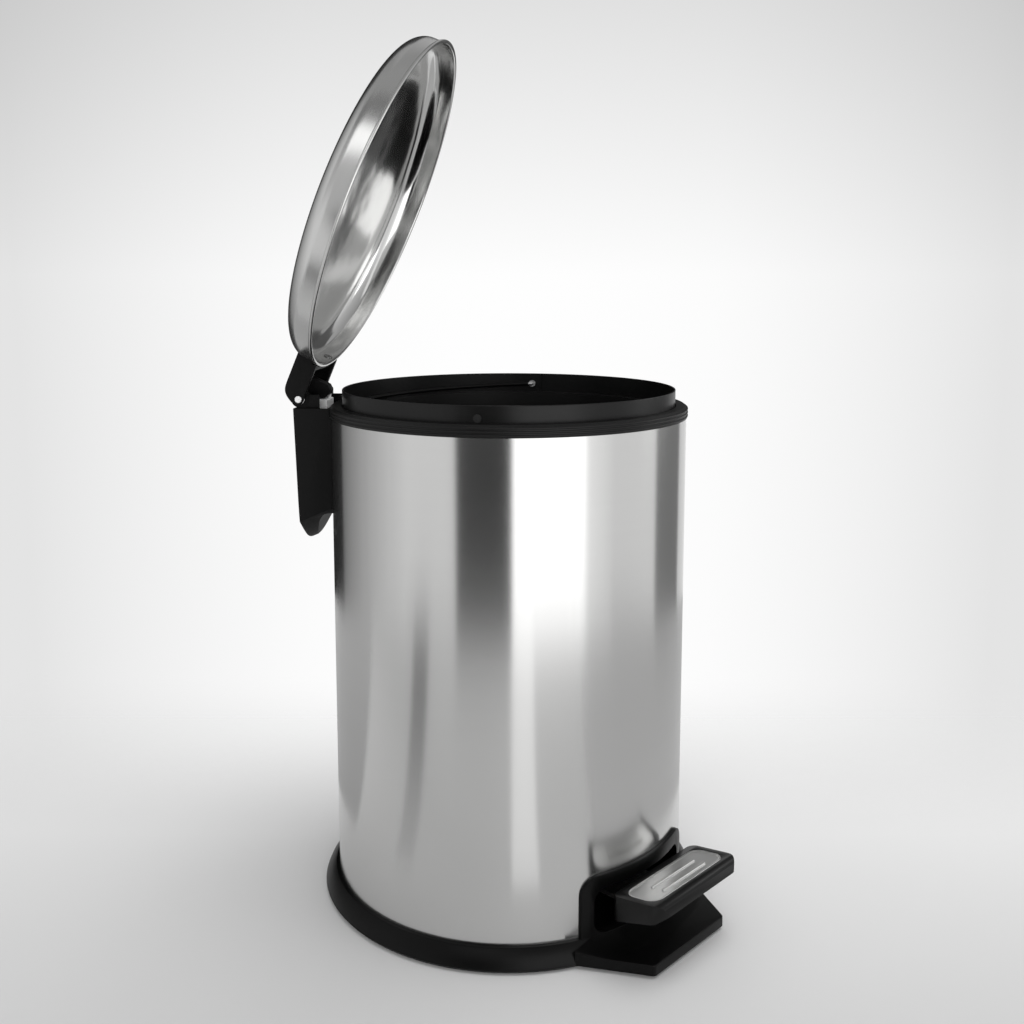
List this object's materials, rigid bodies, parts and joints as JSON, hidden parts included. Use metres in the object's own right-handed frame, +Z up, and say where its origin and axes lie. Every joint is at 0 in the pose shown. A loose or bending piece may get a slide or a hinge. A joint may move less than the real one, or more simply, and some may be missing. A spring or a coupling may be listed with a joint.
{
  "type": "pedal trash can",
  "caption": "Round steel pedal bin with a black base and foot pedal, a removable bucket with a wire handle, and a domed lid on a rear hinge, standing open.",
  "frame": {"origin": "middle of the foot ring, on the floor", "axes": "+Z up along the body's axis, -Y towards the pedal; the lid is stored open"},
  "size_m": [0.2934, 0.3312, 0.6007],
  "materials": {
    "brushed_steel": "satin, brushed",
    "lid_steel": "satin, brushed",
    "ring_plastic": "satin black moulding",
    "bucket_plastic": "black moulding, slightly glossy",
    "wire_steel": "bright drawn wire",
    "pin_steel": "bright",
    "plate_steel": "polished",
    "lever_steel": "plain zinc plated",
    "black_plastic": "satin black moulding",
    "black_metal": "satin black paint",
    "white_nylon": "white nylon",
    "pad_rubber": "matt"
  },
  "bodies": {
    "body": {"outer_shell": "brushed_steel", "base_tray": "black_plastic", "foot_ring": "pad_rubber", "top_ring": "ring_plastic", "inner_bucket": "bucket_plastic", "hinge_housing": "black_plastic", "hinge_ears": "black_metal", "hinge_pin": "pin_steel", "hinge_washers": "white_nylon", "ear_screws": "pin_steel", "housing_screws": "pin_steel", "rod_guides": "black_plastic", "pedal_axle": "pin_steel", "axle_clips": "pin_steel"},
    "lid": {"lid_shell": "lid_steel", "lid_bracket": "black_plastic", "lid_screws": "pin_steel"},
    "rod": {"push_rod": "wire_steel", "rod_cap": "white_nylon", "rod_foot": "white_nylon"},
    "pedal": {"pedal_lever": "lever_steel", "pedal_tread": "black_plastic", "tread_plate": "plate_steel", "tread_screws": "pin_steel"},
    "bail": {"bucket_bail": "wire_steel"}
  },
  "joints": [
    {"name": "lid_hinge", "type": "hinge", "parent": "body", "child": "lid", "pos_m": [-0.08843, 0.11441, 0.3539], "axis": [-0.7912, -0.6115, 0], "range_deg": [-67.3, 0]},
    {"name": "rod_slide", "type": "slide", "parent": "body", "child": "rod", "axis": [0, 0, 1], "range_m": [-0.01176, 0.0001]},
    {"name": "pedal_pivot", "type": "hinge", "parent": "body", "child": "pedal", "pos_m": [0, -0.062, 0.024], "axis": [1, 0, 0], "range_deg": [-4.35, 0.02]},
    {"name": "bail_swing", "type": "hinge", "parent": "body", "child": "bail", "pos_m": [0, 0, 0.353], "axis": [0.832, 0.5548, 0], "range_deg": [0, 185]}
  ],
  "couplings": [
    {"joint": "rod_slide", "follows": "lid_hinge", "m_per_rad": 0.01},
    {"joint": "pedal_pivot", "follows": "lid_hinge", "ratio": 0.06441}
  ]
}
